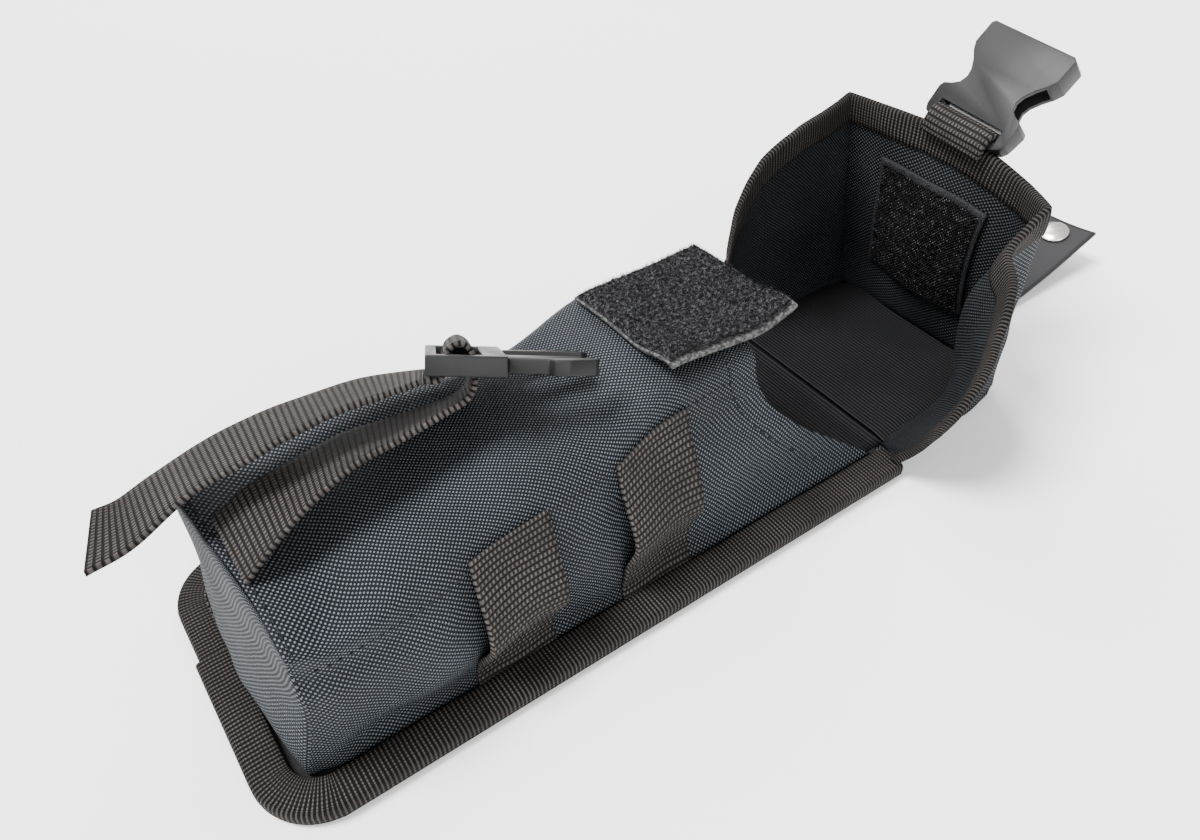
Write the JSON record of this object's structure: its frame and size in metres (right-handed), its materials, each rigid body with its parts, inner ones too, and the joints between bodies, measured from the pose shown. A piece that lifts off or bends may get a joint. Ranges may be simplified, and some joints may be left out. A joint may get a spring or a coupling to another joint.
{
  "type": "saddle bag",
  "caption": "Soft bound bag lying open on its back, with a boxed pocket, a fold-over boxed lid, a side-release buckle on webbing and a snap-ended mounting strap.",
  "frame": {"origin": "middle of the back panel's resting face", "axes": "+X along the bag from its bottom end towards the lid, +Y to the far side, away from the webbing loops, +Z out of the back panel through the pocket"},
  "size_m": [0.3929, 0.1097, 0.1158],
  "materials": {
    "cloth": "coated basket weave, dark blue-grey with pale thread crossings",
    "lining": "ribbed black lining",
    "tape": "ribbed grosgrain tape",
    "webbing": "woven webbing",
    "pile": "brushed loop pile",
    "hooks": "hook tape",
    "board": "plain sheet, out of sight",
    "plastic": "moulded, fine satin grain",
    "coated": "smooth coated strap",
    "metal": "bright plated"
  },
  "bodies": {
    "body": {"back_panel": "cloth", "back_stiffener": "board", "back_lining": "lining", "back_binding": "tape", "snap_stud": "metal", "front_panel": "cloth", "near_gusset": "cloth", "far_gusset": "cloth", "bottom_gusset": "cloth", "webbing_loop_1": "webbing", "webbing_loop_2": "webbing", "closure_tab": "pile"},
    "lid": {"lid_panel": "cloth", "lid_stiffener": "board", "lid_lining": "lining", "near_cheek": "cloth", "far_cheek": "cloth", "near_cheek_binding": "tape", "far_cheek_binding": "tape"},
    "lid_front": {"lid_front_panel": "cloth", "lid_rim_binding": "tape", "hook_patch": "hooks", "lid_webbing": "webbing"},
    "female_buckle": {"female_buckle": "plastic", "lid_webbing_loop": "webbing"},
    "tab_flap": {"closure_tab_flap": "pile"},
    "front_strap": {"front_strap": "webbing"},
    "male_buckle": {"male_buckle": "plastic", "strap_wrap": "webbing"},
    "near_prong": {"near_prong": "plastic"},
    "far_prong": {"far_prong": "plastic"},
    "strap_tail": {"strap_tail": "webbing"},
    "mounting_strap": {"mounting_strap": "coated", "snap_cap": "metal", "snap_socket": "metal"}
  },
  "joints": [
    {"name": "lid_hinge", "type": "hinge", "parent": "body", "child": "lid", "pos_m": [0.1093, 0, 0.0024], "axis": [0, -1, 0], "range_deg": [0, 90]},
    {"name": "lid_front_hinge", "type": "hinge", "parent": "lid", "child": "lid_front", "pos_m": [0.1784, 0, 0.0024], "axis": [0, 1, 0], "range_deg": [0, 10.5]},
    {"name": "female_buckle_hinge", "type": "hinge", "parent": "lid_front", "child": "female_buckle", "pos_m": [0.16501, 0, 0.08453], "axis": [0, -1, 0], "range_deg": [-25, 40]},
    {"name": "tab_hinge", "type": "hinge", "parent": "body", "child": "tab_flap", "pos_m": [0.058, 0, 0.067], "axis": [0, 1, 0], "range_deg": [-45, 8]},
    {"name": "front_strap_hinge", "type": "hinge", "parent": "body", "child": "front_strap", "pos_m": [-0.0913, 0, 0.0533], "axis": [0, -1, 0], "range_deg": [0, 60]},
    {"name": "male_buckle_pivot", "type": "hinge", "parent": "front_strap", "child": "male_buckle", "pos_m": [-0.0188, 0.0118, 0.0708], "axis": [-0.3197, -0.7719, 0.5494], "range_deg": [0, 15]},
    {"name": "strap_tail_hinge", "type": "hinge", "parent": "front_strap", "child": "strap_tail", "pos_m": [-0.02852, 0.01404, 0.06829], "axis": [0.3197, 0.7719, -0.5494], "range_deg": [0, 60]},
    {"name": "near_prong_flex", "type": "hinge", "parent": "male_buckle", "child": "near_prong", "pos_m": [-0.01119, -0.00256, 0.07508], "axis": [0.3612, 0.4368, 0.8239], "range_deg": [0, 5], "stiffness_Nm_per_rad": 0.004},
    {"name": "far_prong_flex", "type": "hinge", "parent": "male_buckle", "child": "far_prong", "pos_m": [-0.00416, 0.01443, 0.06299], "axis": [-0.3612, -0.4368, -0.8239], "range_deg": [0, 5], "stiffness_Nm_per_rad": 0.004},
    {"name": "mounting_strap_hinge", "type": "hinge", "parent": "body", "child": "mounting_strap", "pos_m": [0.1093, 0, 0], "axis": [0, 1, 0], "range_deg": [0, 180]}
  ],
  "couplings": [
    {"joint": "lid_front_hinge", "follows": "lid_hinge", "ratio": 0.11667},
    {"joint": "far_prong_flex", "follows": "near_prong_flex", "ratio": 1}
  ]
}
